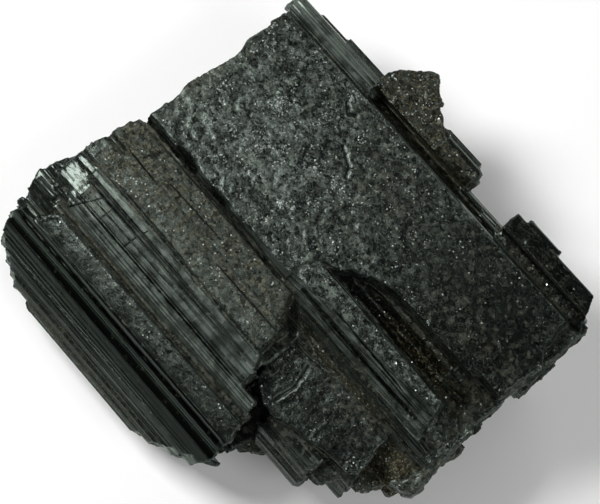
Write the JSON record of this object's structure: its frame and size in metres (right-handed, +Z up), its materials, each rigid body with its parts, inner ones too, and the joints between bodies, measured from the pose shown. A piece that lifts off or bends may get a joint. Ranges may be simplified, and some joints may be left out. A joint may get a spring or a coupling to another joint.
{
  "type": "tourmaline crystal",
  "caption": "Chunk of black tourmaline: parallel striated prisms grown together, with a broad pitted face on top, stepped sides and broken ends.",
  "frame": {"origin": "on the resting face, under the middle of the chunk", "axes": "+X along the crystals (the c-axis), towards the end with the recess; +Y across them, away from the stepped side; +Z up, out of the broad pitted face"},
  "size_m": [0.0704, 0.0663, 0.0244],
  "materials": {
    "schorl": "black mineral: glossy striated prism faces, duller pitted growth faces and rough broken ends"
  },
  "bodies": {
    "root": {"tourmaline_crystal": "schorl"}
  },
  "joints": []
}
